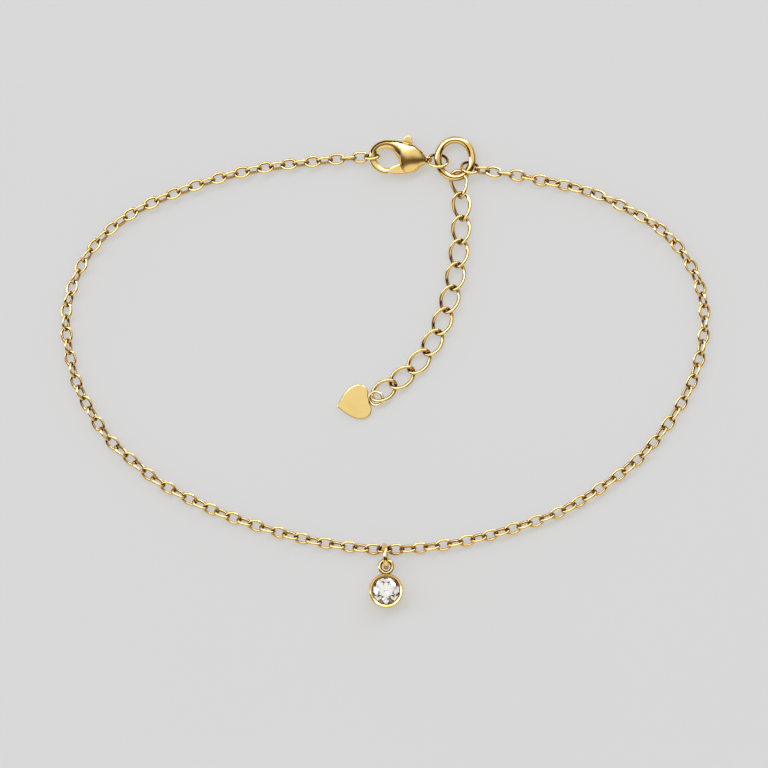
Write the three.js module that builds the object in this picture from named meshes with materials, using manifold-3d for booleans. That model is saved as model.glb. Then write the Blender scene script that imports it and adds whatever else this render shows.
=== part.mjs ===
// Chain anklet lying fastened on a flat surface: a fine cable chain, a lobster clasp with a sprung lever,
// an extender of twisted links that ends in a flat heart, and a round stone in a bezel cup as its drop.
// Millimetres, +Z up. The origin is the middle of the underside of the whole anklet.
import * as THREE from 'three';
import { mergeVertices } from 'three/addons/utils/BufferGeometryUtils.js';
import { ConvexGeometry } from 'three/addons/geometries/ConvexGeometry.js';
import Module from 'manifold-3d';

const wasm = await Module();
wasm.setup();

// Clearances
const wireGap = 0.07;          // between two wires that hang in each other
const pieceGap = 0.12;         // between a piece and what it stands beside or lies in

// Cable chain
const chainWire = 0.36;
const chainLinkLength = 2.52;
const chainLinkWidth = 1.96;
const chainHeight = 0.9;       // of the links' middle above the surface
const chainThickness = 1.8;    // of the run of rolled links as one body
const bailLinkRoll = -60;      // degrees from lying flat
const lastLinkRoll = -58;

// Lobster clasp
const claspLength = 8.65;      // from the hook to the narrow end of the body
const claspWidth = 5.26;
const claspThickness = 2.84;
const claspCrest = 0.35;       // of half the body's width, from its middle out to its thickest line
const claspCorner = [-2.46, 30.32];
const claspEyeHole = 0.66;
const claspEyeWire = 0.3;
const gateThickness = 0.8;
const gateClearance = 0.08;    // to each cheek of the slot
const knobWidth = 1.41;
const pinDiameter = 0.6;
const pinClearance = 0.06;     // round the pin
const pinSeat = 0.36;          // how far the pin reaches into each cheek
const hookLinkRoll = 64;

// Jump rings
const claspRingDiameter = 3.5;
const claspRingWire = 0.46;
const claspRingRoll = -50;
const claspRingHeading = -5;
const bigRingWidth = 6.42;
const bigRingLength = 6.92;
const bigRingWire = 1.12;
const bigRingHeight = 1.25;    // of the ring's middle above the surface
const bigRingShift = 0.34;     // sideways from the middle of the clasp's ring
const chainRingDiameter = 3.1;
const chainRingWire = 0.42;
const chainRingRoll = -52;
const chainRingPlace = -29;    // degrees round the big ring
const chainRingHeading = -12;

// Extender
const extenderWire = 0.5;
const extenderLinkLength = 4.7;
const extenderLinkWidth = 3.2;
const extenderTwist = 40;      // degrees that each end of a link is turned from its middle
const extenderHeight = 0.74;
const firstExtenderRoll = 34;
const firstExtenderSlack = 0.24; // between the big ring and the first link
const extenderGap = 0.1;       // spare way between two links
const extenderSettling = 0.65; // share of the first link's roll and lift that each link hands on to the next

// Heart tag
const heartLength = 5.2;
const heartWidth = 5.4;
const heartThickness = 0.55;
const heartBevel = 0.12;
const heartHeading = 192;
const heartLoopDiameter = 2.55;
const heartLoopWire = 0.42;
const heartLoopRise = 20;      // degrees that the loop is bent up from the flat heart
const heartLoopJoint = 0.12;   // how far the loop's wire is let into the plate
const heartLoopPlace = [0.5, 0]; // from the end of the last link to the middle of the loop

// Stone drop
const bailDiameter = 4.1;
const bailWire = 0.78;
const bailTurn = 4;
const bailSlack = 0.14;        // how far the bail's wire lies off the middle of its link
const bailShift = 0.15;        // along the chain from the middle of its link
const settingShift = 0.1;      // the same way, from the bail to the cup
const settingHeight = 2.35;
const settingRim = 0.55;       // width of the rim round the stone
const stoneClearance = 0.09;   // between the stone's girdle and the rim
const settingTilt = -10;       // degrees that the face leans towards the chain
const settingLoopDiameter = 2.55;
const settingLoopWire = 0.6;
const settingLoopHeight = 2.0;
const settingLoopReach = 1.08; // from the outside of the rim to the middle of the loop
const stoneDiameter = 4.02;
const crownShare = 0.15;       // of the stone's diameter
const girdleShare = 0.03;
const pavilionShare = 0.42;
const tableShare = 0.56;

// Chosen points of the chain's way round the ankle, from the clasp to the bail and from there to the big
// ring, as x, y and the share of the height that the run still has to climb to its clasp or ring.
const routeToBail = [
  [-5.77, 32.8, 0.35], [-12.31, 32.15, 0], [-19.68, 31.15, 0], [-28.11, 28.97, 0], [-37.43, 25.18, 0],
  [-41.89, 22.18, 0], [-45.54, 18.26, 0], [-47.88, 13.62, 0], [-49.08, 8.51, 0], [-48.54, 2.83, 0],
  [-47.4, -1.77, 0], [-45.14, -6.38, 0], [-42.29, -10.58, 0], [-38.49, -14.02, 0], [-34.68, -17.08, 0],
  [-26.68, -21.22, 0], [-19.28, -23.89, 0], [-12.4, -25.75, 0], [-6.31, -26.89, 0],
];
const bailSpot = [-0.09, -27.4, 0];
const routeFromBail = [
  [6.86, -26.98, 0], [13.43, -25.83, 0], [20.32, -23.94, 0], [27.62, -21.25, 0], [34.92, -16.65, 0],
  [38.68, -13.69, 0], [41.94, -10.12, 0], [44.82, -6.12, 0], [47.18, -1.65, 0], [48.63, 3.28, 0],
  [49.18, 8.35, 0], [48.31, 13.46, 0], [45.89, 18.12, 0], [42.29, 21.95, 0], [37.62, 24.82, 0],
  [33.0, 27.06, 0], [28.32, 28.48, 0], [24.03, 29.4, 0], [20.11, 30.2, 0.1],
];

// Places of the extender's links after the first, measured from the first, as shares of the way from
// one link to the next
const extenderRoute = [
  [0.128, -0.918], [0.134, -1.926], [0.042, -2.943], [-0.112, -3.940], [-0.352, -4.890],
  [-0.679, -5.878], [-1.126, -6.817], [-1.684, -7.585], [-2.408, -8.264], [-3.179, -8.809],
];

// Sections of the clasp's body from the hook's tip round to the tail. outer and inner are the ends of
// each section as shares of the clasp's length and width, thick is a share of its thickness. The chain's
// first link hangs on one of them.
const claspSections = [
  { outer: [0.343, 0.012], inner: [0.351, 0.196], thick: 0.28 },
  { outer: [0.249, 0.018], inner: [0.278, 0.196], thick: 0.31 },
  { outer: [0.133, 0.105], inner: [0.199, 0.269], thick: 0.31 },
  { outer: [0.046, 0.275], inner: [0.146, 0.374], thick: 0.31 },
  { outer: [0.0, 0.509], inner: [0.125, 0.52], thick: 0.3, holdsLink: true },
  { outer: [0.036, 0.743], inner: [0.146, 0.646], thick: 0.32 },
  { outer: [0.133, 0.909], inner: [0.21, 0.725], thick: 0.36 },
  { outer: [0.267, 0.995], inner: [0.31, 0.754], thick: 0.42 },
  { outer: [0.391, 1.0], inner: [0.395, 0.713], thick: 0.52 },
  { outer: [0.495, 0.986], inner: [0.461, 0.614], thick: 0.66 },
  { outer: [0.598, 0.955], inner: [0.52, 0.45], thick: 0.82 },
  { outer: [0.705, 0.905], inner: [0.552, 0.216], thick: 0.95 },
  { outer: [0.794, 0.858], inner: [0.651, 0.012], thick: 1.0 },
  { outer: [0.865, 0.778], inner: [0.804, 0.053], thick: 0.88 },
  { outer: [0.936, 0.678], inner: [0.918, 0.199], thick: 0.66 },
  { outer: [1.0, 0.56], inner: [1.0, 0.282], thick: 0.4 },
];

// Outlines of the lever below its knob, and of the slot that it turns in, as the same shares
const gatePivot = [0.685, 0.181];
const knobMiddle = [0.689, 0.991];
const gateOutline = [
  [0.61, 0.713], [0.596, 0.48], [0.548, 0.307], [0.375, 0.178], [0.375, 0.015], [0.578, 0.006],
  [0.685, 0.029], [0.765, 0.111], [0.783, 0.26], [0.762, 0.567], [0.77, 0.801],
];
const slotOutline = [
  [0.427, -0.105], [0.427, 0.246], [0.507, 0.406], [0.569, 0.567], [0.58, 1.298], [0.979, 1.298],
  [0.925, 0.632], [0.854, 0.45], [0.822, 0.246], [0.797, 0.076], [0.726, -0.023], [0.623, -0.105],
];

// Faceting
const linkSteps = 14;
const ringSteps = 22;
const wireSides = 6;
const claspSides = 14;
const routeSteps = 40;         // of each half of the chain
const arcSteps = 12;

const gold = { color: 0xd8a544, roughness: 0.22, metalness: 1 };
const clearStone = { color: 0xf6f3ec, roughness: 0.03, metalness: 0 };

const anklet = new THREE.Group();
const up = new THREE.Vector3(0, 0, 1);

function radians(degrees) {
  return THREE.MathUtils.degToRad(degrees);
}

// A bare, merged geometry becomes a solid for joining and cutting, and a solid becomes a geometry again.
function solidOf(geometry) {
  const bare = new THREE.BufferGeometry();
  bare.setAttribute('position', geometry.attributes.position);
  bare.setIndex(geometry.index);
  const merged = mergeVertices(bare, 1e-4);
  const vertProperties = new Float32Array(merged.attributes.position.array);
  const triVerts = new Uint32Array(merged.index.array);
  return new wasm.Manifold(new wasm.Mesh({ numProp: 3, vertProperties, triVerts }));
}

function geometryOf(solid) {
  const mesh = solid.getMesh();
  const geometry = new THREE.BufferGeometry();
  geometry.setAttribute('position', new THREE.BufferAttribute(mesh.vertProperties, 3));
  geometry.setIndex(new THREE.BufferAttribute(mesh.triVerts, 1));
  return geometry;
}

function addPiece(name, geometry, look) {
  const mesh = new THREE.Mesh(geometry, new THREE.MeshStandardMaterial(look));
  mesh.name = name;
  anklet.add(mesh);
  return mesh;
}

// Skin of rows of points. Each row goes once round, and the rows close on each other or end in a point
// at each end.
function skin(rows, closed) {
  const sides = rows[0].length;
  const positions = rows.flat().flatMap((point) => point.toArray());
  const index = [];
  const last = closed ? rows.length : rows.length - 1;
  for (let i = 0; i < last; i++) {
    const here = i * sides;
    const next = ((i + 1) % rows.length) * sides;
    for (let k = 0; k < sides; k++) {
      const other = (k + 1) % sides;
      index.push(here + k, next + k, next + other, here + k, next + other, here + other);
    }
  }
  if (!closed) {
    for (const [row, flip] of [[0, false], [rows.length - 1, true]]) {
      const middle = new THREE.Vector3();
      rows[row].forEach((point) => middle.addScaledVector(point, 1 / sides));
      const tip = positions.length / 3;
      positions.push(...middle.toArray());
      for (let k = 0; k < sides; k++) {
        const a = row * sides + k;
        const b = row * sides + ((k + 1) % sides);
        index.push(tip, flip ? b : a, flip ? a : b);
      }
    }
  }
  const geometry = new THREE.BufferGeometry();
  geometry.setAttribute('position', new THREE.Float32BufferAttribute(positions, 3));
  geometry.setIndex(index);
  return geometry;
}

// Oval link lying flat with its length along X. A twist turns its two ends opposite ways about its length.
function ovalLink(length, width, wire, steps, twist = 0) {
  const a = (length - wire) / 2;
  const b = (width - wire) / 2;
  const path = [];
  for (let i = 0; i < steps; i++) {
    const angle = (2 * Math.PI * i) / steps;
    const along = a * Math.cos(angle);
    const turn = -radians(twist) * Math.cos(angle);
    const across = b * Math.sin(angle);
    path.push(new THREE.Vector3(along, across * Math.cos(turn), across * Math.sin(turn)));
  }
  const rows = path.map((point, i) => {
    const ahead = path[(i + 1) % steps].clone().sub(path[(i + steps - 1) % steps]).normalize();
    const out = point.clone().addScaledVector(ahead, -point.dot(ahead)).normalize();
    const side = new THREE.Vector3().crossVectors(out, ahead);
    const row = [];
    for (let k = 0; k < wireSides; k++) {
      const angle = (2 * Math.PI * k) / wireSides;
      const rim = point.clone().addScaledVector(out, (wire / 2) * Math.cos(angle));
      row.push(rim.addScaledVector(side, (wire / 2) * Math.sin(angle)));
    }
    return row;
  });
  return skin(rows, true);
}

function roundRing(diameter, wire, steps = ringSteps) {
  return new THREE.TorusGeometry((diameter - wire) / 2, wire / 2, wireSides, steps);
}

// Stands a piece at a point with its X along a heading and its Y rolled up from the surface.
function placeAlong(mesh, point, heading, roll) {
  const ahead = heading.clone().normalize();
  const left = new THREE.Vector3().crossVectors(up, ahead).normalize();
  const above = new THREE.Vector3().crossVectors(ahead, left);
  mesh.quaternion.setFromRotationMatrix(new THREE.Matrix4().makeBasis(ahead, left, above));
  mesh.rotateX(radians(roll));
  mesh.position.copy(point);
  return mesh;
}

function extrudedOutline(points, thickness) {
  const shape = new THREE.Shape(points);
  const geometry = new THREE.ExtrudeGeometry(shape, { depth: thickness, bevelEnabled: false });
  geometry.translate(0, 0, -thickness / 2);
  return geometry;
}

// Lobster clasp

const claspMiddle = claspThickness / 2;

function onClasp([along, across]) {
  return new THREE.Vector2(along * claspLength, across * claspWidth);
}

function claspPlace(share, height = claspMiddle) {
  const point = onClasp(share);
  return new THREE.Vector3(claspCorner[0] + point.x, claspCorner[1] + point.y, height);
}

const tail = claspSections[claspSections.length - 1];
const tailMiddle = [(tail.outer[0] + tail.inner[0]) / 2, (tail.outer[1] + tail.inner[1]) / 2];
const eyeDiameter = claspEyeHole + 2 * claspEyeWire;
const eyeReach = eyeDiameter / 2 - claspEyeWire * 0.7;

function claspShell() {
  const rows = claspSections.map(({ outer, inner, thick }) => {
    const from = onClasp(inner);
    const to = onClasp(outer);
    const middle = from.clone().add(to).multiplyScalar(0.5);
    const reach = to.clone().sub(from).multiplyScalar(0.5);
    const row = [];
    for (let k = 0; k < claspSides; k++) {
      const angle = (2 * Math.PI * k) / claspSides;
      const rise = Math.sin(angle);
      const rim = middle.clone().addScaledVector(reach, Math.cos(angle) + claspCrest * rise ** 2);
      row.push(new THREE.Vector3(rim.x, rim.y, -((thick * claspThickness) / 2) * rise));
    }
    return row;
  });
  return solidOf(skin(rows, false));
}

function claspEye() {
  const ring = roundRing(eyeDiameter, claspEyeWire, linkSteps);
  ring.rotateX(radians(90 + claspRingRoll));
  const at = onClasp(tailMiddle);
  ring.translate(at.x + eyeReach, at.y, 0);
  return solidOf(ring);
}

function pinBore(diameter, length) {
  const bore = new THREE.CylinderGeometry(diameter / 2, diameter / 2, length, arcSteps);
  bore.rotateX(Math.PI / 2);
  const at = onClasp(gatePivot);
  bore.translate(at.x, at.y, 0);
  return bore;
}

function claspBody() {
  const slotWidth = gateThickness + 2 * gateClearance;
  const slot = solidOf(extrudedOutline(slotOutline.map(onClasp), slotWidth));
  const seat = solidOf(pinBore(pinDiameter + 2 * pinClearance, slotWidth + 2 * (pinSeat + pinClearance)));
  return claspShell().add(claspEye()).subtract(slot).subtract(seat);
}

function claspGate() {
  const knob = onClasp(knobMiddle);
  const outline = gateOutline.map(onClasp);
  for (let i = 0; i <= arcSteps; i++) {
    const angle = (Math.PI * i) / arcSteps;
    outline.push(new THREE.Vector2(
      knob.x + (knobWidth / 2) * Math.cos(angle), knob.y + (knobWidth / 2) * Math.sin(angle)));
  }
  const lever = solidOf(extrudedOutline(outline, gateThickness));
  return lever.subtract(solidOf(pinBore(pinDiameter + 2 * pinClearance, gateThickness * 2)));
}

const claspPin = pinBore(pinDiameter, gateThickness + 2 * gateClearance + 2 * pinSeat);
for (const [name, geometry] of [
  ['clasp_body', geometryOf(claspBody())], ['clasp_gate', geometryOf(claspGate())], ['clasp_pin', claspPin]]) {
  addPiece(name, geometry, gold).position.set(claspCorner[0], claspCorner[1], claspMiddle);
}

// Jump rings between the clasp, the big ring and the chain

const eyeMiddle = claspPlace(tailMiddle).add(new THREE.Vector3(eyeReach, 0, 0));
const claspRingWay = new THREE.Vector3(
  Math.cos(radians(claspRingHeading)), Math.sin(radians(claspRingHeading)), 0);
const claspRingReach = (claspRingDiameter - claspRingWire) / 2;
const claspRingAt = eyeMiddle.clone().addScaledVector(claspRingWay, claspRingReach);
const claspRing = addPiece('clasp_ring', roundRing(claspRingDiameter, claspRingWire), gold);
placeAlong(claspRing, claspRingAt, claspRingWay, claspRingRoll);

const bigRingReach = (bigRingWidth - bigRingWire) / 2;
const bigRingAt = new THREE.Vector3(
  claspRingAt.x + bigRingReach, claspRingAt.y + bigRingShift, bigRingHeight);
const bigRing = addPiece('big_ring', ovalLink(bigRingWidth, bigRingLength, bigRingWire, ringSteps), gold);
bigRing.position.copy(bigRingAt);

const chainRingReach = (chainRingDiameter - chainRingWire) / 2;
const chainRingHeight = chainRingReach * Math.sin(radians(-chainRingRoll)) + chainRingWire / 2;
const chainRingAt = new THREE.Vector3(
  bigRingAt.x + bigRingReach * Math.cos(radians(chainRingPlace)),
  bigRingAt.y + ((bigRingLength - bigRingWire) / 2) * Math.sin(radians(chainRingPlace)),
  chainRingHeight);
const chainRingWay = new THREE.Vector3(
  Math.cos(radians(chainRingHeading)), Math.sin(radians(chainRingHeading)), 0);
const chainRing = addPiece('chain_ring', roundRing(chainRingDiameter, chainRingWire), gold);
placeAlong(chainRing, chainRingAt, chainRingWay, chainRingRoll);

// Cable chain

const hookWire = claspSections.find((section) => section.holdsLink);
const hookMiddle = [(hookWire.outer[0] + hookWire.inner[0]) / 2, (hookWire.outer[1] + hookWire.inner[1]) / 2];
const hookLinkAt = claspPlace(hookMiddle);
hookLinkAt.x -= pieceGap;
const lastLinkAt = chainRingAt.clone();
lastLinkAt.addScaledVector(
  chainRingWay, chainRingReach - chainRingWire / 2 + chainLinkLength / 2 - chainWire - pieceGap);

const routePoints = [...routeToBail, bailSpot, ...routeFromBail].map(([x, y, climb]) => {
  const end = x < 0 ? claspMiddle : chainRingHeight;
  return new THREE.Vector3(x, y, chainHeight + climb * (end - chainHeight));
});
const route = new THREE.CatmullRomCurve3([hookLinkAt, ...routePoints, lastLinkAt], false, 'centripetal');
const routeLengths = route.getLengths(routeSteps * (route.points.length - 1));
route.arcLengthDivisions = routeLengths.length - 1;
const routeLength = routeLengths[routeLengths.length - 1];
const bailLinkAlong = routeLengths[routeSteps * (routeToBail.length + 1)];

function routeShare(along) {
  return along / routeLength;
}

function chainLink(name, along, roll) {
  const share = routeShare(along);
  const link = addPiece(name, ovalLink(chainLinkLength, chainLinkWidth, chainWire, linkSteps), gold);
  return placeAlong(link, route.getPointAt(share), route.getTangentAt(share), roll);
}

class RouteStretch extends THREE.Curve {
  constructor(from, to) {
    super();
    this.from = routeShare(from);
    this.to = routeShare(to);
  }

  getPoint(t, target = new THREE.Vector3()) {
    return route.getPointAt(THREE.MathUtils.lerp(this.from, this.to, t), target);
  }
}

// The links between the ones that carry something, as one body of the run's own thickness
function chainRun(name, from, to) {
  const section = new THREE.Shape();
  section.absarc(0, 0, chainThickness / 2, 0, 2 * Math.PI, false);
  const clear = chainLinkLength / 2 + pieceGap;
  const extrudePath = new RouteStretch(from + clear, to - clear);
  const geometry = new THREE.ExtrudeGeometry(section, { steps: routeSteps, curveSegments: 4, extrudePath });
  return addPiece(name, geometry, gold);
}

chainLink('hook_link', 0, hookLinkRoll);
chainRun('chain_left', 0, bailLinkAlong);
const bailLink = chainLink('bail_link', bailLinkAlong, bailLinkRoll);
chainRun('chain_right', bailLinkAlong, routeLength);
chainLink('last_link', routeLength, lastLinkRoll);

// Extender

const bigRingFoot = bigRingAt.y - bigRingLength / 2 + bigRingWire;
const firstExtenderAt = new THREE.Vector3(
  bigRingAt.x + extenderWire, bigRingFoot - (extenderLinkLength / 2 - extenderWire) + firstExtenderSlack,
  bigRingHeight - pieceGap);
const extenderLift = firstExtenderAt.z - extenderHeight;
const extenderPitch = extenderLinkLength - 2 * extenderWire - extenderGap;
const extenderPoints = extenderRoute.map(([right, back], i) => new THREE.Vector3(
  firstExtenderAt.x + right * extenderPitch, firstExtenderAt.y + back * extenderPitch,
  extenderHeight + extenderLift * extenderSettling ** (i + 1)));
const extender = new THREE.CatmullRomCurve3([firstExtenderAt, ...extenderPoints], false, 'centripetal');
const extenderReach = extender.getLength();
for (let i = 0; i <= extenderRoute.length; i++) {
  // The first link stands higher than the rest, so the second hangs deeper in it.
  const along = i === 0 ? 0 : i * extenderPitch - 2 * wireGap;
  const share = Math.min(along / extenderReach, 1);
  const shape = ovalLink(extenderLinkLength, extenderLinkWidth, extenderWire, linkSteps, extenderTwist);
  const link = addPiece(`extender_link_${String(i + 1).padStart(2, '0')}`, shape, gold);
  placeAlong(link, extender.getPointAt(share), extender.getTangentAt(share),
    firstExtenderRoll * extenderSettling ** i);
}

// Heart tag, flat on the surface, with its loop bent up to the last link

const heartBack = heartLength * 0.02;
const heartLoopAlong = (heartLoopDiameter / 2) * Math.cos(radians(heartLoopRise));
const heartLoopAway = heartLoopJoint + heartBack - heartLoopAlong;

function heartSolid() {
  const long = heartLength;
  const half = heartWidth / 2;
  const outline = new THREE.Shape();
  outline.moveTo(long, 0);
  outline.bezierCurveTo(long * 0.8, half * 0.45, long * 0.62, half * 0.98, long * 0.3, half);
  outline.bezierCurveTo(long * 0.08, half * 1.02, long * -0.04, half * 0.62, long * 0.02, half * 0.3);
  outline.quadraticCurveTo(long * 0.05, half * 0.16, heartBack, 0);
  outline.quadraticCurveTo(long * 0.05, -half * 0.16, long * 0.02, -half * 0.3);
  outline.bezierCurveTo(long * -0.04, -half * 0.62, long * 0.08, -half * 1.02, long * 0.3, -half);
  outline.bezierCurveTo(long * 0.62, -half * 0.98, long * 0.8, -half * 0.45, long, 0);
  const plate = new THREE.ExtrudeGeometry(outline, {
    depth: heartThickness - 2 * heartBevel,
    curveSegments: arcSteps / 2,
    bevelThickness: heartBevel,
    bevelSize: heartBevel,
    bevelOffset: -heartBevel,
    bevelSegments: 1,
  });
  plate.translate(0, 0, heartBevel);
  const loop = roundRing(heartLoopDiameter, heartLoopWire);
  loop.rotateY(radians(heartLoopRise));
  const loopHeight = heartThickness / 2 + (heartLoopDiameter / 2) * Math.sin(radians(heartLoopRise));
  loop.translate(heartLoopAway, 0, loopHeight);
  return solidOf(plate).add(solidOf(loop));
}

const lastExtenderEnd = extender.getPointAt(1)
  .addScaledVector(extender.getTangentAt(1), (extenderLinkLength - extenderWire) / 2);
const heart = addPiece('heart_tag', geometryOf(heartSolid()), gold);
heart.rotation.z = radians(heartHeading);
const heartWay = new THREE.Vector3(Math.cos(radians(heartHeading)), Math.sin(radians(heartHeading)), 0);
heart.position.set(lastExtenderEnd.x + heartLoopPlace[0], lastExtenderEnd.y + heartLoopPlace[1], 0);
heart.position.addScaledVector(heartWay, -heartLoopAway);

// Stone drop

const bailReach = (bailDiameter - bailWire) / 2;
const bailHeight = bailDiameter / 2;
const bailAt = new THREE.Vector3(
  bailLink.position.x + bailShift,
  bailLink.position.y - Math.sqrt((bailReach - bailSlack) ** 2 - (bailHeight - chainHeight) ** 2),
  bailHeight);
const bail = addPiece('bail_ring', roundRing(bailDiameter, bailWire), gold);
bail.rotation.set(0, Math.PI / 2, 0);
bail.rotateOnWorldAxis(up, radians(bailTurn));
bail.position.copy(bailAt);

const cupRadius = stoneDiameter / 2 + stoneClearance;
const settingRadius = cupRadius + settingRim;
const settingLoopAway = settingRadius + settingLoopReach;
const girdleHeight = settingHeight - settingRim * 0.8;

function settingSolid() {
  const profile = [
    [cupRadius * 0.72, 0], [settingRadius * 0.74, 0], [settingRadius * 0.9, settingHeight * 0.2],
    [settingRadius, settingHeight * 0.45], [settingRadius, settingHeight * 0.92],
    [settingRadius - settingRim * 0.3, settingHeight], [cupRadius + settingRim * 0.2, settingHeight],
    [cupRadius, settingHeight * 0.93], [cupRadius, settingHeight * 0.8],
    [cupRadius * 0.72, settingHeight * 0.5],
  ];
  const points = [...profile, profile[0]].map(([x, y]) => new THREE.Vector2(x, y));
  const cup = new THREE.LatheGeometry(points, ringSteps + 6);
  cup.rotateX(Math.PI / 2);
  const loop = roundRing(settingLoopDiameter, settingLoopWire);
  loop.translate(0, settingLoopAway, settingLoopHeight);
  return solidOf(cup).add(solidOf(loop));
}

// Round brilliant, its girdle at height 0: a table, eight kites, sixteen girdle facets and a pavilion
function stoneGeometry() {
  const radius = stoneDiameter / 2;
  const crown = crownShare * stoneDiameter;
  const half = (girdleShare * stoneDiameter) / 2;
  const points = [new THREE.Vector3(0, 0, -pavilionShare * stoneDiameter)];
  for (let k = 0; k < 16; k++) {
    const angle = (Math.PI * k) / 8;
    for (const height of [half, -half]) {
      points.push(new THREE.Vector3(radius * Math.cos(angle), radius * Math.sin(angle), height));
    }
    if (k % 2 === 0) {
      const reach = radius * tableShare;
      points.push(new THREE.Vector3(reach * Math.cos(angle), reach * Math.sin(angle), half + crown));
    } else {
      const reach = radius * (1 + tableShare) * 0.5;
      points.push(new THREE.Vector3(reach * Math.cos(angle), reach * Math.sin(angle), half + crown * 0.66));
    }
  }
  return new ConvexGeometry(points);
}

const tilt = radians(settingTilt);
const footLift = -settingRadius * 0.74 * Math.sin(tilt);
const loopAboveFoot = settingLoopHeight * Math.cos(tilt) + settingLoopAway * Math.sin(tilt);
const loopAhead = settingLoopAway * Math.cos(tilt) - settingLoopHeight * Math.sin(tilt);
const bailBehind = Math.sqrt(bailReach ** 2 - (bailHeight - footLift - loopAboveFoot) ** 2);
const settingAt = new THREE.Vector3(bailAt.x + settingShift, bailAt.y - bailBehind - loopAhead, footLift);
const setting = addPiece('stone_setting', geometryOf(settingSolid()), gold);
const stone = addPiece('stone', stoneGeometry(), clearStone);
for (const mesh of [setting, stone]) {
  mesh.rotation.x = tilt;
  mesh.position.copy(settingAt);
}
stone.translateZ(girdleHeight);

// Origin in the middle of the underside
anklet.updateMatrixWorld(true);
const bounds = new THREE.Box3().setFromObject(anklet, true);
const middle = bounds.getCenter(new THREE.Vector3());
anklet.position.set(-middle.x, -middle.y, -bounds.min.z);
anklet.updateMatrixWorld(true);

export default anklet;
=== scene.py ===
import math

import bpy
from mathutils import Matrix, Vector


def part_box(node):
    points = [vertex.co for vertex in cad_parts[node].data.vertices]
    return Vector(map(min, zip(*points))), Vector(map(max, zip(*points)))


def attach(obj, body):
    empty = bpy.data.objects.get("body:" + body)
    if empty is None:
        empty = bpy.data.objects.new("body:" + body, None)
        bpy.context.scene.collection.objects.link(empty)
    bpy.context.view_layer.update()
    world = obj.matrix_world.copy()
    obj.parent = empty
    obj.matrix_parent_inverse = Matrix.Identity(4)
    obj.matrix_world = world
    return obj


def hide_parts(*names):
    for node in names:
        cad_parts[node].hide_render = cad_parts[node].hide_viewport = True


# Gold chain anklet lying fastened in a loop, seen from straight above: cable chain, lobster clasp,
# extender with a flat heart, and a round stone in a bezel. Metres in Blender, millimetres in the tables.
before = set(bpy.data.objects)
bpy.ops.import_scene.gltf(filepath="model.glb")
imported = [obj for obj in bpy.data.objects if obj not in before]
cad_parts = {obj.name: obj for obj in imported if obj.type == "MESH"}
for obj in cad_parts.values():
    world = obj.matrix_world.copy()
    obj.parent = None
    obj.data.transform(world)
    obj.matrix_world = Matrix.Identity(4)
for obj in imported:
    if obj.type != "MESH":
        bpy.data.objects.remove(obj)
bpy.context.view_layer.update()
mm = 0.001
print("frame loaded")


# camera and light

shot = {
    "middle": (-0.207, -1.820),  # what the middle of the picture looks at
    "across": 118.15,  # what the picture takes in
    "level": 1.0,  # how high above the floor that is measured
    "height": 1200.0,
    "sensor": 36.0,
    "farthest": 20000.0,
    "floorSide": 4000.0,
}
camera = bpy.data.objects.new("camera", bpy.data.cameras.new("camera"))
bpy.context.scene.collection.objects.link(camera)
camera.location = Vector((*shot["middle"], shot["height"])) * mm
camera.data.sensor_width = shot["sensor"]
camera.data.lens = shot["sensor"] * (shot["height"] - shot["level"]) / shot["across"]
camera.data.clip_end = shot["farthest"] * mm
bpy.context.scene.camera = camera
bpy.context.scene.view_settings.view_transform = "Standard"

keyLight = {"spot": (-420, 620, 900), "sides": (420, 300), "power": 1.2, "colour": (1.0, 0.99, 0.97)}
lamp = bpy.data.lights.new("keyLight", "AREA")
lamp.shape = "RECTANGLE"
lamp.size, lamp.size_y = [side * mm for side in keyLight["sides"]]
lamp.energy = keyLight["power"]
lamp.color = keyLight["colour"]
light = bpy.data.objects.new("keyLight", lamp)
bpy.context.scene.collection.objects.link(light)
light.location = Vector(keyLight["spot"]) * mm
light.rotation_euler = (-light.location).to_track_quat("-Z", "Y").to_euler()


class Num:  # a shader socket that takes part in sums
    def __init__(self, finish, socket):
        self.finish = finish
        self.socket = socket

    def worked(self, operation, first, second):
        return self.finish.add("ShaderNodeMath", {"operation": operation}, {0: first, 1: second})

    def __add__(self, other):
        return self.worked("ADD", self, other)

    __radd__ = __add__

    def __mul__(self, other):
        return self.worked("MULTIPLY", self, other)

    __rmul__ = __mul__

    def above(self, limit):
        return self.worked("GREATER_THAN", self, limit)


class Finish:  # one node tree, of a material or of the surroundings
    def __init__(self, tree):
        self.tree = tree
        tree.nodes.clear()

    def add(self, kind, settings=None, inputs=None, output=0):
        node = self.tree.nodes.new(kind)
        for key, value in (settings or {}).items():
            if key == "stops":
                while len(node.color_ramp.elements) < len(value):
                    node.color_ramp.elements.new(1)
                for stop, (place, colour) in zip(node.color_ramp.elements, value):
                    stop.position = place
                    stop.color = (*colour, 1)
            else:
                setattr(node, key, value)
        for key, value in (inputs or {}).items():
            if isinstance(value, Num):
                self.tree.links.new(value.socket, node.inputs[key])
            else:
                node.inputs[key].default_value = value
        return Num(self, node.outputs[output]) if len(node.outputs) else node

    def noise(self, place, size, detail=2.0, roughness=0.5):  # size in mm
        inputs = {"Vector": place, "Scale": 1 / (size * mm), "Detail": detail, "Roughness": roughness}
        return self.add("ShaderNodeTexNoise", {}, inputs)

    def spread(self, value, low, high, fromLow=0.3, fromHigh=0.7):
        return self.add("ShaderNodeMapRange", {}, {0: value, 1: fromLow, 2: fromHigh, 3: low, 4: high})

    def mix(self, mask, first, second, how="MIX"):  # of two colours, each a value or a socket
        sides = [side if isinstance(side, Num) else (*side, 1) for side in (first, second)]
        settings = {"data_type": "RGBA", "blend_type": how}
        return self.add("ShaderNodeMix", settings, {0: mask, 6: sides[0], 7: sides[1]}, 2)


def newFinish(name):
    material = bpy.data.materials.new(name)
    material.use_nodes = True
    return material, Finish(material.node_tree)


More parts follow.
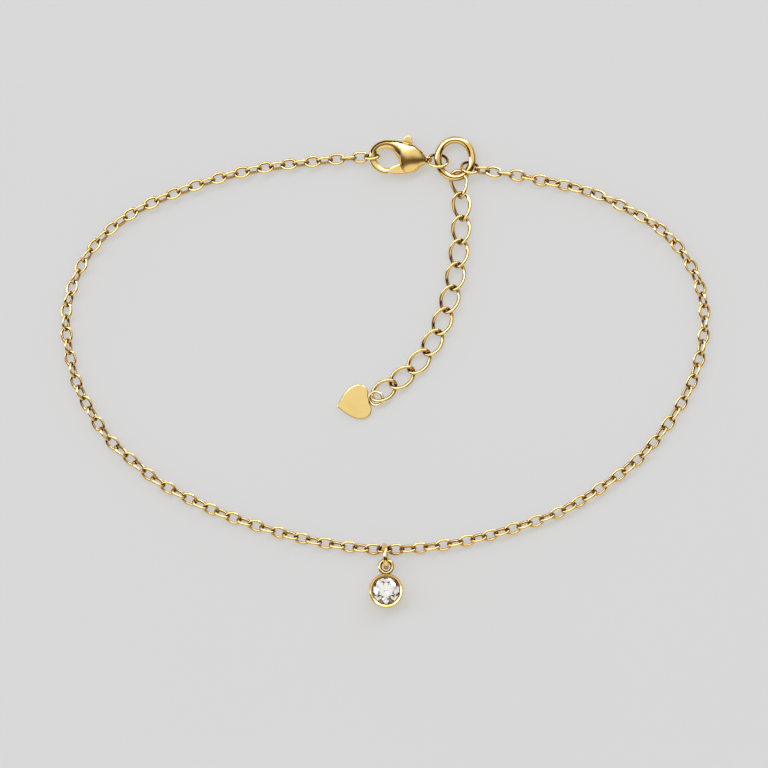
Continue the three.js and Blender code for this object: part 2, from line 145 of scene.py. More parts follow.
def closeFinish(finish, inputs):
    shader = finish.add("ShaderNodeBsdfPrincipled", {}, inputs)
    finish.add("ShaderNodeOutputMaterial", {}, {"Surface": shader})


surroundings = {  # brightness by how far a way leans to the north, to the east and along the strip light
    "north": [
        (0.0, (0.95, 0.93, 0.90)), (0.19, (0.98, 0.96, 0.93)), (0.25, (0.08, 0.035, 0.01)),
        (0.40, (0.08, 0.035, 0.01)), (0.48, (0.98, 0.98, 0.98)), (0.62, (0.98, 0.98, 0.98)),
        (0.90, (0.80, 0.78, 0.75)), (1.0, (0.45, 0.43, 0.40)),
    ],
    "east": [
        (0.0, (0.07, 0.035, 0.015)), (0.09, (0.07, 0.035, 0.015)), (0.15, (1.0, 1.0, 1.0)),
        (0.88, (1.0, 1.0, 1.0)), (0.95, (0.15, 0.12, 0.10)),
    ],
    "strip": [
        (0.0, (0.0, 0.0, 0.0)), (0.67, (0.0, 0.0, 0.0)), (0.69, (0.55, 0.65, 1.0)),
        (0.79, (0.55, 0.65, 1.0)), (0.82, (0.0, 0.0, 0.0)),
    ],
    "stripWay": (-0.42, 0.90, 0.0), "stripStrength": 8.0, "stripFoot": 0.05,
    "throughStone": [  # what the stone's facets gather, from the horizon up
        (0.0, (0.05, 0.02, 0.005)), (0.74, (0.05, 0.02, 0.005)), (0.76, (0.97, 0.95, 0.90)),
        (0.84, (0.97, 0.95, 0.90)), (0.85, (0.10, 0.04, 0.01)), (0.895, (0.10, 0.04, 0.01)),
        (0.905, (0.97, 0.95, 0.90)),
    ],
}
world = bpy.data.worlds.new("studio")
world.use_nodes = True
bpy.context.scene.world = world
studio = Finish(world.node_tree)


def shareOf(lean):  # a ramp goes from 0 to 1, a lean from -1 to 1
    return lean * 0.5 + 0.5


def glowOf(ramp, share):
    return studio.add("ShaderNodeValToRGB", {"stops": surroundings[ramp]}, {0: share})


skyWay = studio.add("ShaderNodeTexCoord", {}, {}, "Generated")
east, north, height = [studio.add("ShaderNodeSeparateXYZ", {}, {0: skyWay}, side) for side in ("X", "Y", "Z")]
towardsStrip = {0: skyWay, 1: surroundings["stripWay"]}
alongStrip = studio.add("ShaderNodeVectorMath", {"operation": "DOT_PRODUCT"}, towardsStrip, "Value")
glow = studio.mix(1.0, glowOf("north", shareOf(north)), glowOf("east", shareOf(east)), "MULTIPLY")
overhead = height.above(surroundings["stripFoot"]) * surroundings["stripStrength"]
stripLight = {0: glowOf("strip", shareOf(alongStrip)), "Scale": overhead}
glow = studio.mix(1.0, glow, studio.add("ShaderNodeVectorMath", {"operation": "SCALE"}, stripLight), "ADD")
leftStone = studio.add("ShaderNodeLightPath", {}, {}, "Is Transmission Ray")
glow = studio.mix(leftStone, glow, glowOf("throughStone", height))
backdrop = studio.add("ShaderNodeBackground", {}, {"Color": glow, "Strength": 1.0})
studio.add("ShaderNodeOutputWorld", {}, {"Surface": backdrop})


# finishes

goldGrain = {  # how the cloudy and the fine noise make up the roughness and the bump of every gold
    "cloudDetail": 3.0, "fineDetail": 2.0, "fineRoughness": 0.6, "fineShare": 0.6, "cloudShare": 0.4,
    "bumpDepth": 0.02, "raysForPaintedShade": 8,
}


def goldFinish(name, look):
    material, finish = newFinish(name)
    place = finish.add("ShaderNodeTexCoord", {}, {}, "Object")
    cloudy = finish.noise(place, look["cloudSize"], goldGrain["cloudDetail"])
    fine = finish.noise(place, look["grainSize"], goldGrain["fineDetail"], goldGrain["fineRoughness"])
    colour = finish.mix(finish.spread(cloudy, 0, 1), look["colour"], look["deep"])
    # painted shade: the base colour goes over to a dark shade colour wherever ambient occlusion finds other
    # surfaces near, in creases and grooves, between crossing links and along edges close to the floor
    rays, paintedShadeReach = {"samples": goldGrain["raysForPaintedShade"]}, {"Distance": look["paintedShadeReach"] * mm}
    occlusionForPaintedShade = finish.add("ShaderNodeAmbientOcclusion", rays, paintedShadeReach, "AO")
    colour = finish.mix(finish.spread(occlusionForPaintedShade, 1.0, 0.0, *look["paintedShadeSpan"]), colour, look["paintedShade"])
    rough = finish.spread(fine * goldGrain["fineShare"] + cloudy * goldGrain["cloudShare"], *look["rough"])
    height = {"Strength": look["bump"], "Distance": goldGrain["bumpDepth"] * mm, "Height": fine}
    bump = finish.add("ShaderNodeBump", {}, height)
    closeFinish(finish, {"Base Color": colour, "Roughness": rough, "Metallic": 1.0, "Normal": bump})
    return material


def cloudedFinish(name, look):  # two tones that melt into each other, and constants of its own
    material, finish = newFinish(name)
    cloudy = finish.noise(finish.add("ShaderNodeTexCoord", {}, {}, "Object"), look["cloudSize"])
    colour = finish.mix(finish.spread(cloudy, 0, 1), *look["colours"])
    rough = finish.spread(cloudy, *look["rough"])
    closeFinish(finish, {"Base Color": colour, "Roughness": rough, **look["constants"]})
    return material


# every gold below gets painted shade: a shade colour, how far in millimetres the occlusion looks, and the
# span of openness over which the shade is painted
polishedGold = goldFinish("polishedGold", {
    "colour": (0.95, 0.67, 0.24), "deep": (0.90, 0.59, 0.17), "rough": (0.05, 0.11), "bump": 0.12,
    "cloudSize": 1.6, "grainSize": 0.22, "paintedShadeReach": 3.0, "paintedShadeSpan": (0.62, 0.97), "paintedShade": (0.26, 0.12, 0.02),
})
satinGold = goldFinish("satinGold", {
    "colour": (0.93, 0.67, 0.25), "deep": (0.87, 0.57, 0.17), "rough": (0.19, 0.26), "bump": 0.2,
    "cloudSize": 2.4, "grainSize": 0.12, "paintedShadeReach": 1.2, "paintedShadeSpan": (0.45, 0.88), "paintedShade": (0.09, 0.03, 0.005),
})
tagGold = goldFinish("tagGold", {
    "colour": (0.93, 0.69, 0.27), "deep": (0.90, 0.65, 0.23), "rough": (0.13, 0.18), "bump": 0.2,
    "cloudSize": 2.0, "grainSize": 0.15, "paintedShadeReach": 1.0, "paintedShadeSpan": (0.45, 0.9), "paintedShade": (0.20, 0.09, 0.02),
})

clearStone = cloudedFinish("clearStone", {
    "colours": ((1.0, 1.0, 1.0), (0.985, 0.985, 0.98)), "cloudSize": 0.8, "rough": (0.0, 0.012),
    "constants": {"IOR": 2.15, "Transmission Weight": 1.0},
})
paleFloor = cloudedFinish("paleFloor", {
    "colours": ((0.150, 0.151, 0.153), (0.147, 0.148, 0.150)), "cloudSize": 90.0, "rough": (0.75, 0.85),
    "constants": {
        "Specular IOR Level": 0.2, "Emission Color": (1.0, 0.96, 0.835, 1.0), "Emission Strength": 0.49,
    },
})
print("finishes mixed")


# how pieces are picked, placed and handed over

def onlyThese(*pieces):
    bpy.ops.object.select_all(action="DESELECT")
    for piece in pieces:
        piece.select_set(True)
    bpy.context.view_layer.objects.active = pieces[-1]


def named(name):
    piece = bpy.context.view_layer.objects.active
    piece.name = name
    piece.data.name = name
    return piece


def middleOf(node):
    low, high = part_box(node)
    return (low + high) / 2


def turned(spot, heading, lift=0.0, roll=0.0):  # X goes along the heading, with its tip lifted, then rolls
    turn = Matrix.Rotation(math.radians(heading), 4, "Z") @ Matrix.Rotation(-math.radians(lift), 4, "Y")
    return Matrix.Translation(Vector(spot)) @ turn @ Matrix.Rotation(math.radians(roll), 4, "X")


def settled(piece, node, clearance=0.005):  # its middle goes to the node's, and it stays clear of the floor
    places = [vertex.co for vertex in piece.data.vertices]
    low, high = [Vector([pick(place[k] for place in places) for k in range(3)]) for pick in (min, max)]
    move = middleOf(node) - (low + high) / 2
    move.z = max(move.z, clearance * mm - low.z)
    piece.data.transform(Matrix.Translation(move))
    return piece


def copied(pattern, name, place):  # a copy with its own mesh, set out at its place
    piece = pattern.copy()
    piece.data = pattern.data.copy()
    piece.name = name
    piece.data.name = name
    piece.data.transform(place)
    bpy.context.scene.collection.objects.link(piece)
    return piece


def joined(name, pieces):
    onlyThese(*pieces)
    bpy.ops.object.join()
    return named(name)


def thrownAway(piece):
    bpy.data.objects.remove(piece)


def handOver(piece, body, nodes, material, crease=35.0):
    if crease:
        shaded(piece, crease)
    piece.data.materials.clear()
    piece.data.materials.append(material)
    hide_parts(*nodes)
    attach(piece, body)
    return piece


def applied(piece, kind, settings):
    onlyThese(piece)
    modifier = piece.modifiers.new(kind, kind)
    for key, value in settings.items():
        setattr(modifier, key, value)
    bpy.ops.object.modifier_apply(modifier=kind)
    return piece


def shaded(piece, crease):
    onlyThese(piece)
    bpy.ops.object.shade_smooth_by_angle(angle=math.radians(crease))
    return piece


def facingOut(piece, weld=0.0005):  # merges doubled points and turns all faces outwards
    onlyThese(piece)
    bpy.ops.object.mode_set(mode="EDIT")
    bpy.ops.mesh.select_all(action="SELECT")
    bpy.ops.mesh.remove_doubles(threshold=weld * mm)
    bpy.ops.mesh.normals_make_consistent(inside=False)
    bpy.ops.object.mode_set(mode="OBJECT")
    return piece


# wire shapes

def ovalLink(name, sizes, twist=0.0):  # a bent oval of round wire, its length along X
    bpy.ops.object.select_all(action="DESELECT")
    bpy.ops.curve.primitive_bezier_circle_add(radius=1)
    loop = bpy.context.view_layer.objects.active
    loop.data.resolution_u = sizes["steps"] // 4  # the circle has four stretches
    loop.data.bevel_depth = sizes["wire"] / 2 * mm
    loop.data.bevel_resolution = sizes["sides"] // 2 - 2  # gives a wire of so many sides
    bpy.ops.object.mode_set(mode="EDIT")
    bpy.ops.curve.select_all(action="SELECT")
    across = [(sizes[side] - sizes["wire"]) / 2 * mm for side in ("length", "width")]
    bpy.ops.transform.resize(value=(across[0], across[1], 1), center_override=(0, 0, 0))
    bpy.ops.object.mode_set(mode="OBJECT")
    bpy.ops.object.convert(target="MESH")
    link = facingOut(named(name))
    if twist:
        turnIt = {"deform_method": "TWIST", "deform_axis": "X", "angle": math.radians(2 * twist)}
        applied(link, "SIMPLE_DEFORM", turnIt)
    return link


def jumpRing(name, sizes, pinch=0.88, near=0.0002):  # a round ring, pinched at +X, where its ends meet
    bpy.ops.object.select_all(action="DESELECT")
    reach = (sizes["across"] - sizes["wire"]) / 2 * mm
    bpy.ops.mesh.primitive_torus_add(
        major_segments=sizes["steps"], minor_segments=sizes["sides"],
        major_radius=reach, minor_radius=sizes["wire"] / 2 * mm)
    ring = named(name)
    for offset in (-1, 0, 1):
        for vertex in ring.data.vertices:
            vertex.select = vertex.co.x > 0
        bpy.ops.object.mode_set(mode="EDIT")
        cut = (reach, offset * sizes["seam"] / 2 * mm, 0)
        bpy.ops.mesh.bisect(plane_co=cut, plane_no=(0, 1, 0), threshold=near / 2 * mm)
        bpy.ops.mesh.select_all(action="DESELECT")
        bpy.ops.object.mode_set(mode="OBJECT")
    for vertex in ring.data.vertices:
        vertex.select = vertex.co.x > 0 and abs(vertex.co.y) < near * mm
    bpy.ops.object.mode_set(mode="EDIT")
    bpy.ops.transform.resize(value=(pinch, 1, pinch), center_override=(reach, 0, 0))
    bpy.ops.object.mode_set(mode="OBJECT")
    return ring


def plate(name, outline, thickness):  # a flat outline with its thickness to both sides of the middle
    bpy.ops.object.select_all(action="DESELECT")
    bpy.ops.mesh.primitive_circle_add(vertices=len(outline), radius=1, fill_type="NGON")
    piece = named(name)
    for vertex, (x, y) in zip(piece.data.vertices, outline):
        vertex.co = Vector((x, y, -thickness / 2)) * mm
    bpy.ops.object.mode_set(mode="EDIT")
    bpy.ops.mesh.select_all(action="SELECT")
    bpy.ops.mesh.extrude_region_move(TRANSFORM_OT_translate={"value": (0, 0, thickness * mm)})
    bpy.ops.object.mode_set(mode="OBJECT")
    return facingOut(piece)


def spunRound(name, profile, steps):  # a closed profile of radius and height, spun about Z
    bpy.ops.object.select_all(action="DESELECT")
    bpy.ops.mesh.primitive_circle_add(vertices=len(profile), radius=1, fill_type="NOTHING")
    piece = named(name)
    for vertex, (radius, height) in zip(piece.data.vertices, profile):
        vertex.co = Vector((radius, 0, height)) * mm
    bpy.ops.object.mode_set(mode="EDIT")
    bpy.ops.mesh.select_all(action="SELECT")
    bpy.ops.mesh.spin(steps=steps, angle=2 * math.pi, center=(0, 0, 0), axis=(0, 0, 1))
    bpy.ops.object.mode_set(mode="OBJECT")
    return facingOut(piece)


# floor

bpy.ops.object.select_all(action="DESELECT")
bpy.ops.mesh.primitive_plane_add(size=shot["floorSide"] * mm)
floor = named("floor")
floor.data.materials.append(paleFloor)


# cable chain

cableChain = {
    "length": 2.69, "width": 1.96, "wire": 0.42, "steps": 20, "sides": 8,
    "height": 0.914, "linksToBail": 67, "linksFromBail": 60, "endSpace": 1.775,
    "flat": (14, 26), "steep": (-54, -66),  # between which two rolls every other link lies
    "hookEnd": (-36.0, 3), "ringEnd": (80.0, 10),  # extra roll that fades over so many links
    "climb": 5.6,  # over how many millimetres an end rises to the clasp or to the ring
    "waySteps": 30,
}
routeToBail = [
    (-5.82, 32.90), (-12.36, 32.25), (-19.73, 31.25), (-28.16, 29.07), (-37.48, 25.28),
    (-41.94, 22.28), (-45.59, 18.36), (-47.93, 13.72), (-49.13, 8.61), (-48.59, 2.93),
    (-47.45, -1.67), (-45.19, -6.28), (-42.34, -10.48), (-38.54, -13.92), (-34.73, -16.98),
    (-26.73, -21.12), (-19.33, -23.79), (-12.45, -25.65), (-6.36, -26.79),
]
routeFromBail = [
    (6.81, -26.88), (13.38, -25.73), (20.27, -23.84), (27.57, -21.15), (34.87, -16.55),
    (38.63, -13.59), (41.89, -10.02), (44.77, -6.02), (47.13, -1.55), (48.58, 3.38),
    (49.13, 8.45), (48.26, 13.56), (45.84, 18.22), (42.24, 22.05), (37.57, 24.92),
    (32.95, 27.16), (28.27, 28.58), (23.98, 29.50), (20.06, 30.30),
]


def smoothWay(points, steps):  # a smooth way through all the points, and the length up to each spot on it
    ends = [points[0] * 2 - points[1], *points, points[-1] * 2 - points[-2]]
    way = [points[0]]
    for before, start, stop, after in zip(ends, ends[1:], ends[2:], ends[3:]):
        gaps = [math.sqrt((b - a).length) for a, b in ((before, start), (start, stop), (stop, after))]
        leave = (start - before) / gaps[0] - (stop - before) / (gaps[0] + gaps[1]) + (stop - start) / gaps[1]
        arrive = (stop - start) / gaps[1] - (after - start) / (gaps[1] + gaps[2]) + (after - stop) / gaps[2]
        leave, arrive = leave * gaps[1], arrive * gaps[1]
        for i in range(1, steps + 1):
            t = i / steps
            bow = (start - stop) * 2 + leave + arrive
            way.append(start + leave * t + ((stop - start) * 3 - leave * 2 - arrive) * t ** 2 + bow * t ** 3)
    lengths = [0.0]
    for a, b in zip(way, way[1:]):
        lengths.append(lengths[-1] + (b - a).length)
    return way, lengths


def spotOn(way, lengths, distance):
    i = next((k for k, length in enumerate(lengths[1:], 1) if length >= distance), len(lengths) - 1)
    share = (distance - lengths[i - 1]) / (lengths[i] - lengths[i - 1])
    return way[i - 1].lerp(way[i], share), (way[i] - way[i - 1]).normalized()


hookSpot, bailSpot, lastSpot = [middleOf(node) / mm for node in ("hook_link", "bail_link", "last_link")]


def routePoint(x, y, end):
    share = max(0.0, 1 - (Vector((x, y)) - end.xy).length / cableChain["climb"])
    return Vector((x, y, cableChain["height"] + share * (end.z - cableChain["height"])))


points = [hookSpot, *[routePoint(x, y, hookSpot) for x, y in routeToBail], bailSpot]
points += [*[routePoint(x, y, lastSpot) for x, y in routeFromBail], lastSpot]
way, lengths = smoothWay(points, cableChain["waySteps"])
bailLength = lengths[cableChain["waySteps"] * (len(routeToBail) + 1)]
cableLink = ovalLink("cableLink", cableChain)
for polygon in cableLink.data.polygons:
    polygon.use_smooth = True


def cableRun(name, node, start, stop, count, early=(0.0, 1), late=(0.0, 1)):
    first, last = start + cableChain["endSpace"], stop - cableChain["endSpace"]
    reach = (cableChain["width"] - cableChain["wire"]) / 2
    links = []
    for i in range(count):
        spot, ahead = spotOn(way, lengths, first + (last - first) * i / (count - 1))
        heading = math.degrees(math.atan2(ahead.y, ahead.x))
        lift = math.degrees(math.asin(ahead.z))
        low, high = cableChain["steep"] if i % 2 else cableChain["flat"]
        roll = low + (high - low) * ((i * 7 + 7) % 11) / 10  # eleven rolls in a mixed order
        roll += early[0] * max(0, 1 - i / early[1]) + late[0] * max(0, 1 - (count - 1 - i) / late[1])
        foot = reach * abs(math.sin(math.radians(roll))) + cableChain["wire"] / 2
        spot.z = max(spot.z, foot)  # no link dips into the floor
        links.append(copied(cableLink, "link", turned(spot * mm, heading, lift, roll)))
    return handOver(joined(name, links), "anklet", [node], polishedGold, crease=0)


toBail, fromBail = cableChain["linksToBail"], cableChain["linksFromBail"]
cableRun("chainLeft", "chain_left", 0.0, bailLength, toBail, early=cableChain["hookEnd"])
cableRun("chainRight", "chain_right", bailLength, lengths[-1], fromBail, late=cableChain["ringEnd"])
thrownAway(cableLink)

carryingLinks = {  # the links that carry something: heading, lift and roll of each
    "hook_link": ("hookLink", -176.53, -5.18, 64.0),
    "bail_link": ("bailLink", -0.61, 0.0, -60.0),
    "last_link": ("lastLink", 171.84, 3.63, -58.0),
}
carrying = {"length": 2.53, "width": 1.96, "wire": 0.40, "steps": 32, "sides": 14}
carryingLink = ovalLink("carryingLink", carrying)
for node, (name, *turn) in carryingLinks.items():
    handOver(copied(carryingLink, name, turned(middleOf(node), *turn)), "anklet", [node], polishedGold)
thrownAway(carryingLink)
print("chain laid")


# jump rings and the big ring

jumpRings = {  # node, name, sizes, and heading, lift and roll
    "clasp_ring": ("claspRing", {"across": 3.5, "wire": 0.46}, (-5.0, 0.0, -50.0)),
    "chain_ring": ("chainRing", {"across": 3.1, "wire": 0.44}, (-12.0, 0.0, -52.0)),
    "bail_ring": ("bailRing", {"across": 4.1, "wire": 0.80}, (1.79, -90.0, -2.21)),
}
ringDetail = {"steps": 72, "sides": 20, "seam": 0.05}
for node, (name, sizes, turn) in jumpRings.items():
    ring = jumpRing(name, {**sizes, **ringDetail})
    ring.data.transform(turned(middleOf(node), *turn))
    handOver(ring, "anklet", [node], polishedGold)

big = {"length": 6.42, "width": 6.92, "wire": 1.12, "steps": 96, "sides": 28}
bigRing = ovalLink("bigRing", big)
bigRing.data.transform(turned(middleOf("big_ring"), 0))
handOver(bigRing, "anklet", ["big_ring"], polishedGold)
print("rings closed")


# extender

extender = {"length": 4.72, "width": 3.22, "wire": 0.54, "steps": 48, "sides": 14, "twist": 40.0}
extenderTurns = [  # heading, lift and roll of each link, from the big ring to the heart
    (-82.06, -2.34, 34.0), (-86.19, -1.84, 22.1), (-92.59, -1.14, 14.37), (-96.98, -0.75, 9.34),
    (-101.43, -0.50, 6.07), (-106.26, -0.32, 3.95), (-111.61, -0.20, 2.56), (-119.78, -0.14, 1.67),
    (-131.20, -0.09, 1.08), (-140.72, -0.06, 0.70), (-144.75, -0.05, 0.46),
]
extenderLink = ovalLink("extenderLink", extender, extender["twist"])
for i, turn in enumerate(extenderTurns, 1):
    node = f"extender_link_{i:02d}"
    link = copied(extenderLink, f"extenderLink{i:02d}", turned((0, 0, 0), *turn))
    handOver(settled(link, node), "anklet", [node], polishedGold)
thrownAway(extenderLink)
print("extender hung")


# clasp

clasp = {
    "corner": (-2.5132, 30.4286, 1.4336), "length": 8.65, "width": 5.26, "thickness": 2.84,
    "sides": 40, "smooth": 4, "crest": 0.36, "full": 0.8, "slot": 0.96,
    "grooves": (((18, 40), (0.10, 0.35)), ((44, 57), (0.11, 0.34))),  # from and to, and how far in
    "grooveFoot": -0.18, "grooveTop": 2.0,
    "eye": {"across": 1.26, "wire": 0.30, "steps": 40, "sides": 14, "seam": 0.02},
    "eyeTurn": 40.0, "eyeSpot": (9.07, 2.2145, 0.0),
    "gate": 0.80, "gateEdge": 0.10, "knob": 1.41, "knobSteps": 16,
    "pin": 0.60, "pinLength": 1.64, "pinSides": 40, "pinEdge": 0.08,
}
claspSections = [  # outer end, inner end and thickness, as shares of the length, width and thickness
    ((0.343, 0.012), (0.351, 0.196), 0.28), ((0.249, 0.018), (0.278, 0.196), 0.31),
    ((0.133, 0.105), (0.199, 0.269), 0.31), ((0.046, 0.275), (0.146, 0.374), 0.31),
    ((0.0, 0.509), (0.125, 0.52), 0.30), ((0.036, 0.743), (0.146, 0.646), 0.32),
    ((0.133, 0.909), (0.21, 0.725), 0.36), ((0.267, 0.995), (0.31, 0.754), 0.42),
    ((0.391, 1.0), (0.395, 0.713), 0.52), ((0.495, 0.986), (0.461, 0.614), 0.66),
    ((0.598, 0.955), (0.52, 0.45), 0.82), ((0.705, 0.905), (0.552, 0.216), 0.95),
    ((0.794, 0.858), (0.651, 0.012), 1.0), ((0.865, 0.778), (0.804, 0.053), 0.88),
    ((0.936, 0.678), (0.918, 0.199), 0.66), ((1.0, 0.56), (1.0, 0.282), 0.40),
]
gateShape = [  # the lever's outline without its knob, in the same shares
    (0.61, 0.713), (0.596, 0.48), (0.548, 0.307), (0.375, 0.178), (0.375, 0.015), (0.578, 0.006),
    (0.685, 0.029), (0.765, 0.111), (0.783, 0.26), (0.762, 0.567), (0.77, 0.801),
]
slotShape = [  # what is cut out of the body for the lever
    (0.427, -0.105), (0.427, 0.246), (0.507, 0.406), (0.569, 0.567), (0.58, 1.298), (0.979, 1.298),
    (0.925, 0.632), (0.854, 0.45), (0.822, 0.246), (0.797, 0.076), (0.726, -0.023), (0.623, -0.105),
]
knobShare = (0.689, 0.991)


def onClasp(share):
    return share[0] * clasp["length"], share[1] * clasp["width"]


def alongEnds(side):  # a smooth way along the outer or the inner ends, its height being the thickness
    return smoothWay([Vector((*onClasp(ends[side]), ends[2])) for ends in claspSections], clasp["smooth"])[0]


outerWay, innerWay = alongEnds(0), alongEnds(1)


def sectionOf(outer, inner):  # middle, direction outwards, half width and half thickness
    reach = (outer - inner).xy
    rise = outer.z * clasp["thickness"] / 2
    return (outer + inner).xy / 2, math.atan2(reach.y, reach.x), reach.length / 2, rise


def besideEdge(start, stop, near, far):  # a strip of the body from near to far inside its outer edge
    spots = []
    for inwards, span in ((near, range(start, stop + 1)), (far, range(stop, start - 1, -1))):
        for i in span:
            way = (innerWay[i] - outerWay[i]).xy.normalized()
            spots.append(tuple(outerWay[i].xy + way * inwards))
    return spots


def turnAbout(middle, angle):  # with no window this operator turns the other way
    bpy.ops.transform.rotate(value=-angle, orient_axis="Z", center_override=(middle.x * mm, middle.y * mm, 0))


def claspShell():
    sections = [sectionOf(outer, inner) for outer, inner in zip(outerWay, innerWay)]
    middle, angle, reach, rise = sections[0]
    bpy.ops.object.select_all(action="DESELECT")
    bpy.ops.mesh.primitive_circle_add(vertices=clasp["sides"], radius=1, fill_type="TRIFAN")
    shell = named("claspBody")
    bpy.ops.object.mode_set(mode="EDIT")
    bpy.ops.mesh.select_all(action="SELECT")
    bpy.ops.transform.rotate(value=-math.pi / 2, orient_axis="X", center_override=(0, 0, 0))
    bpy.ops.object.mode_set(mode="OBJECT")
    for vertex in shell.data.vertices:  # the crest of every section lies off its middle, to the outside
        fuller = math.copysign(abs(vertex.co.x) ** clasp["full"], vertex.co.x)
        vertex.co.x = fuller + clasp["crest"] * vertex.co.z ** 2
    bpy.ops.object.mode_set(mode="EDIT")
    bpy.ops.mesh.select_all(action="SELECT")
    bpy.ops.transform.resize(value=(reach * mm, 1, rise * mm), center_override=(0, 0, 0))
    bpy.ops.transform.translate(value=(middle.x * mm, middle.y * mm, 0))
    turnAbout(middle, angle)
    for last, following in zip(sections, sections[1:]):
        middle, angle, reach, rise = following
        step = (middle - last[0]) * mm
        bpy.ops.mesh.extrude_region_move(TRANSFORM_OT_translate={"value": (step.x, step.y, 0)})
        turnAbout(middle, -last[1])
        pivot = (middle.x * mm, middle.y * mm, 0)
        bpy.ops.transform.resize(value=(reach / last[2], 1, rise / last[3]), center_override=pivot)
        turnAbout(middle, angle)
    bpy.ops.object.mode_set(mode="OBJECT")
    return facingOut(shell)


def carved(piece, outline, low, high):  # cuts an outline out of a piece between two heights
    cutter = plate("cutter", outline, high - low)
    cutter.data.transform(Matrix.Translation((0, 0, (high + low) / 2 * mm)))
    applied(piece, "BOOLEAN", {"operation": "DIFFERENCE", "object": cutter, "solver": "EXACT"})
    thrownAway(cutter)


claspBody = claspShell()
carved(claspBody, [onClasp(share) for share in slotShape], -clasp["slot"] / 2, clasp["slot"] / 2)
for (start, stop), depths in clasp["grooves"]:
    carved(claspBody, besideEdge(start, stop, *depths), clasp["grooveFoot"], clasp["grooveTop"])
tailEye = jumpRing("tailEye", clasp["eye"])
tailEye.data.transform(Matrix.Rotation(math.radians(clasp["eyeTurn"]), 4, "X"))
tailEye.data.transform(Matrix.Translation(Vector(clasp["eyeSpot"]) * mm))
claspBody = joined("claspBody", [tailEye, claspBody])
claspBody.data.transform(Matrix.Translation(Vector(clasp["corner"]) * mm))
handOver(claspBody, "anklet", ["clasp_body"], satinGold, crease=40)

knobX, knobY = onClasp(knobShare)
gateOutline = [onClasp(share) for share in gateShape]
knobReach = clasp["knob"] / 2
for i in range(clasp["knobSteps"] + 1):
    angle = math.pi * i / clasp["knobSteps"]
    gateOutline.append((knobX + knobReach * math.cos(angle), knobY + knobReach * math.sin(angle)))
claspGate = plate("claspGate", gateOutline, clasp["gate"])
applied(claspGate, "BEVEL", {"width": clasp["gateEdge"] * mm, "segments": 3, "limit_method": "ANGLE"})
claspGate.data.transform(Matrix.Translation(Vector(clasp["corner"]) * mm))
handOver(claspGate, "gate", ["clasp_gate"], satinGold, crease=12)

bpy.ops.object.select_all(action="DESELECT")
bpy.ops.mesh.primitive_cylinder_add(
    vertices=clasp["pinSides"], radius=clasp["pin"] / 2 * mm, depth=clasp["pinLength"] * mm)
claspPin = named("claspPin")
applied(claspPin, "BEVEL", {"width": clasp["pinEdge"] * mm, "segments": 3, "limit_method": "ANGLE"})
claspPin.data.transform(Matrix.Translation(middleOf("clasp_pin")))
handOver(claspPin, "anklet", ["clasp_pin"], polishedGold)
print("clasp shut")


# heart tag

heart = {
    "length": 5.20, "width": 5.40, "thickness": 0.55, "back": 0.02, "edge": 0.16, "edgeFrom": 1.2,
    "spot": (-2.3911, -4.2264, 0.0136), "heading": 192.0,
    "loop": {"across": 2.55, "wire": 0.44, "steps": 56, "sides": 16, "seam": 0.04},
    "loopRise": 20.0, "loopJoint": 0.12,
}
heartBows = [  # from the point to the dent: start, two guides and stop, as shares of length and half width
    (((1, 0), (0.8, 0.45), (0.62, 0.98), (0.3, 1)), 14),
    (((0.3, 1), (0.08, 1.02), (-0.04, 0.62), (0.02, 0.3)), 14),
    (((0.02, 0.3), (0.04, 0.21), (0.04, 0.11), (heart["back"], 0)), 6),
]


def bowed(corners, steps):  # points on one bowed stretch of the outline, without its start
    spots = []
    for i in range(1, steps + 1):
        t = i / steps
        shares = ((1 - t) ** 3, 3 * t * (1 - t) ** 2, 3 * t ** 2 * (1 - t), t ** 3)
        spots.append(tuple(sum(s * p[k] for s, p in zip(shares, corners)) for k in (0, 1)))
    return spots


def heartOutline():
    long, half = heart["length"], heart["width"] / 2
    side = []
    for corners, steps in heartBows:
        side += bowed([(long * x, half * y) for x, y in corners], steps)
    return [(long, 0), *side, *[(x, -y) for x, y in reversed(side[:-1])]]


heartTag = plate("heartTag", heartOutline(), heart["thickness"])
applied(heartTag, "BEVEL", {
    "width": heart["edge"] * mm, "segments": 4, "limit_method": "ANGLE", "angle_limit": heart["edgeFrom"],
})
heartTag.data.transform(Matrix.Translation(Vector((0, 0, heart["thickness"] / 2 * mm))))
heartLoop = jumpRing("heartLoop", heart["loop"])
loopRise, loopReach = math.radians(heart["loopRise"]), heart["loop"]["across"] / 2
loopAway = heart["loopJoint"] + heart["length"] * heart["back"] - loopReach * math.cos(loopRise)
heartLoop.data.transform(Matrix.Rotation(loopRise, 4, "Y"))
loopSpot = Vector((loopAway, 0, heart["thickness"] / 2 + loopReach * math.sin(loopRise)))
heartLoop.data.transform(Matrix.Translation(loopSpot * mm))
heartTag = joined("heartTag", [shaded(heartLoop, 35), shaded(heartTag, 8)])
heartTag.data.transform(turned(Vector(heart["spot"]) * mm, heart["heading"]))
handOver(heartTag, "anklet", ["heart_tag"], tagGold, crease=0)
print("heart cut out")


# stone and its setting

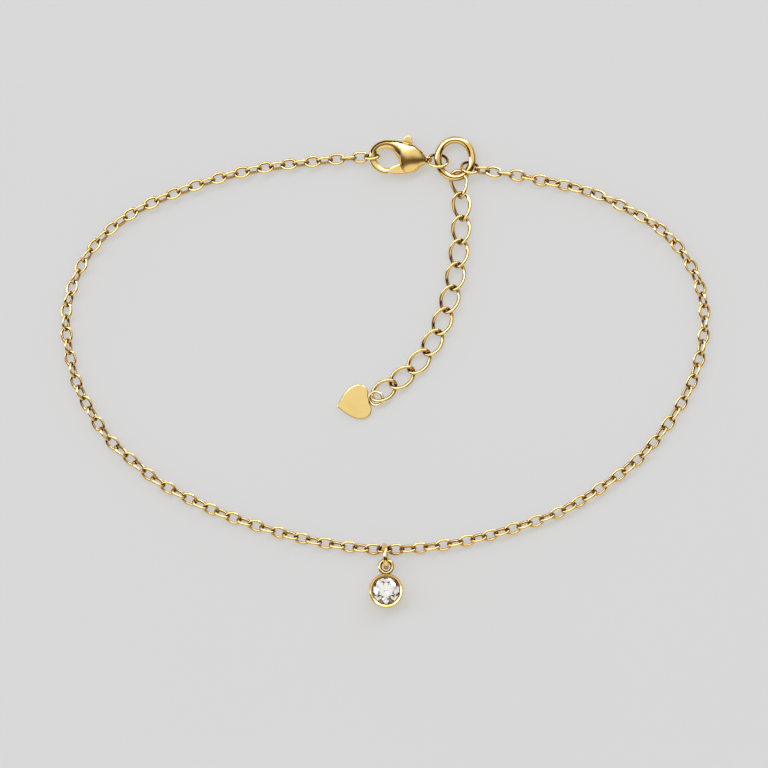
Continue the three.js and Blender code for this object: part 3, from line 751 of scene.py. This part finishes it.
drop = {
    "spot": (0.1068, -33.9201, 0.3541), "tilt": -10.0, "cup": 2.10, "rim": 0.55, "height": 2.35, "steps": 96,
    "loop": {"across": 2.55, "wire": 0.60, "steps": 64, "sides": 18, "seam": 0.04},
    "loopAway": 3.73, "loopHeight": 2.0, "loopTurn": -90.0,
}
dropPlace = turned(Vector(drop["spot"]) * mm, 0, 0, drop["tilt"])
cup, rim, tall = drop["cup"], drop["rim"], drop["height"]
outside = cup + rim
cupProfile = [  # up the outside, over the rolled rim and down the inside
    (cup * 0.72, 0.0), (outside * 0.74, 0.0), (outside * 0.83, tall * 0.08), (outside * 0.92, tall * 0.22),
    (outside * 0.985, tall * 0.42), (outside, tall * 0.62), (outside, tall * 0.86),
    (outside - rim * 0.10, tall * 0.95), (outside - rim * 0.36, tall), (outside - rim * 0.62, tall * 0.995),
    (cup + rim * 0.12, tall * 0.965), (cup, tall * 0.91), (cup, tall * 0.80), (cup * 0.72, tall * 0.50),
]
stoneSetting = spunRound("stoneSetting", cupProfile, drop["steps"])
settingLoop = jumpRing("settingLoop", drop["loop"])
settingLoop.data.transform(Matrix.Rotation(math.radians(drop["loopTurn"]), 4, "Z"))
settingLoop.data.transform(Matrix.Translation(Vector((0, drop["loopAway"], drop["loopHeight"])) * mm))
stoneSetting = joined("stoneSetting", [settingLoop, stoneSetting])
stoneSetting.data.transform(dropPlace)
handOver(stoneSetting, "anklet", ["stone_setting"], polishedGold, crease=40)

brilliant = {
    "across": 4.02, "girdle": 0.03, "crown": 0.15, "table": 0.56, "girdleHeight": 1.91,
    "crownMain": 34.5, "star": 21.5, "upperHalf": 40.5, "pavilionMain": 40.9, "lowerHalf": 42.2,
    "mainReach": 0.995, "halfReach": 0.992,  # how near to the edge the facets start
    "blankSides": 64,
}


def ground(slope, turn, at):  # one flat ground on the blank, its slope measured from level
    lean = math.radians(slope)
    outwards = (math.sin(lean) * math.cos(turn), math.sin(lean) * math.sin(turn), math.cos(lean))
    bpy.ops.mesh.select_all(action="SELECT")
    bpy.ops.mesh.bisect(
        plane_co=Vector(at) * mm, plane_no=outwards, use_fill=True, clear_outer=True, threshold=0.00001 * mm)


def cutBrilliant():  # a round blank, cut facet by facet
    radius = brilliant["across"] / 2
    girdle = brilliant["girdle"] * brilliant["across"] / 2
    top = girdle + brilliant["crown"] * brilliant["across"]
    bpy.ops.object.select_all(action="DESELECT")
    mains, halves = radius * brilliant["mainReach"], radius * brilliant["halfReach"]
    bpy.ops.mesh.primitive_cylinder_add(
        vertices=brilliant["blankSides"], radius=radius * mm, depth=4 * radius * mm)
    blank = named("cutStone")
    bpy.ops.object.mode_set(mode="EDIT")
    for count, start, slope, reach, level in (
            (8, 0.0, 180 - brilliant["pavilionMain"], mains, -girdle),
            (16, 0.5, 180 - brilliant["lowerHalf"], halves, -girdle),
            (8, 0.0, brilliant["crownMain"], mains, girdle),
            (16, 0.5, brilliant["upperHalf"], halves, girdle),
            (8, 0.5, brilliant["star"], radius * brilliant["table"] * math.cos(math.pi / 8), top),
            (1, 0.0, 0.0, 0.0, top)):
        for k in range(count):
            turn = 2 * math.pi * (k + start) / count
            ground(slope, turn, (reach * math.cos(turn), reach * math.sin(turn), level))
    bpy.ops.object.mode_set(mode="OBJECT")
    return facingOut(blank)


stone = cutBrilliant()
stone.data.transform(Matrix.Translation(Vector((0, 0, brilliant["girdleHeight"] * mm))))
stone.data.transform(dropPlace)
handOver(stone, "anklet", ["stone"], clearStone, crease=0)
print("stone cut and set")
